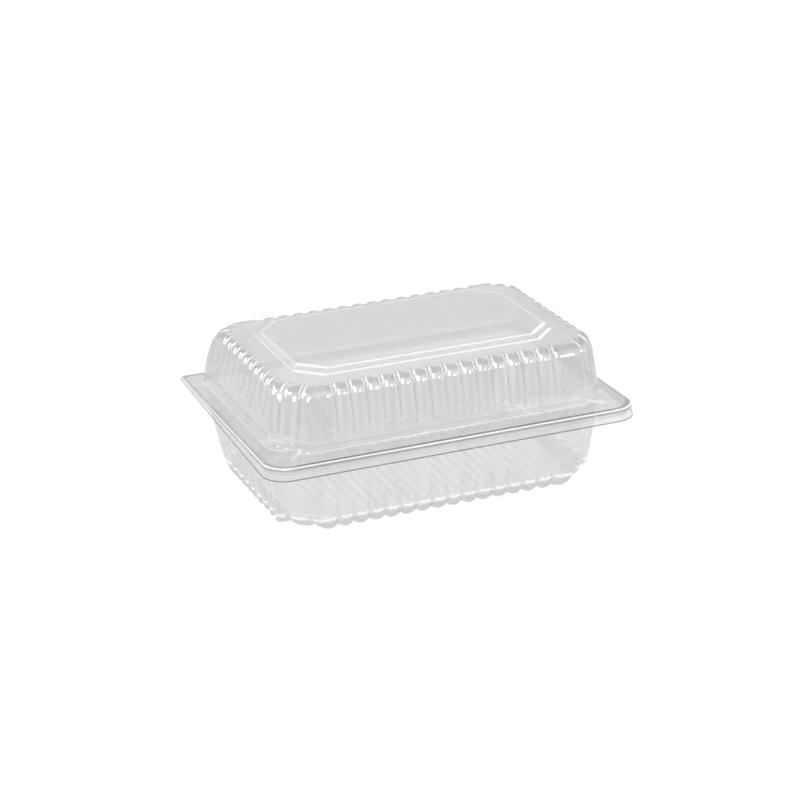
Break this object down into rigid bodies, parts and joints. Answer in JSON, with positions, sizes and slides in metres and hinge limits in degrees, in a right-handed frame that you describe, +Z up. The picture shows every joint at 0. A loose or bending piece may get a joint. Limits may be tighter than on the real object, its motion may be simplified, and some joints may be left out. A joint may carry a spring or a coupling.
{
  "type": "takeaway meal container",
  "caption": "Clear oblong takeaway box: a fluted tray and a hinged, domed lid that closes over it, with a wide sloping rim all round.",
  "frame": {"origin": "middle of the outline seen from above, at the height of the underside", "axes": "+X along the hinge, to the right seen from the front; +Y from the front edge to the hinge; +Z up"},
  "size_m": [0.1918, 0.1433, 0.0768],
  "materials": {
    "sheet": "clear and glossy"
  },
  "bodies": {
    "tray": {"tray": "sheet"},
    "lid": {"lid": "sheet"}
  },
  "joints": [
    {"name": "lid_hinge", "type": "hinge", "parent": "tray", "child": "lid", "pos_m": [0, 0.0718, 0.0425], "axis": [-1, 0, 0], "range_deg": [0, 180]}
  ]
}
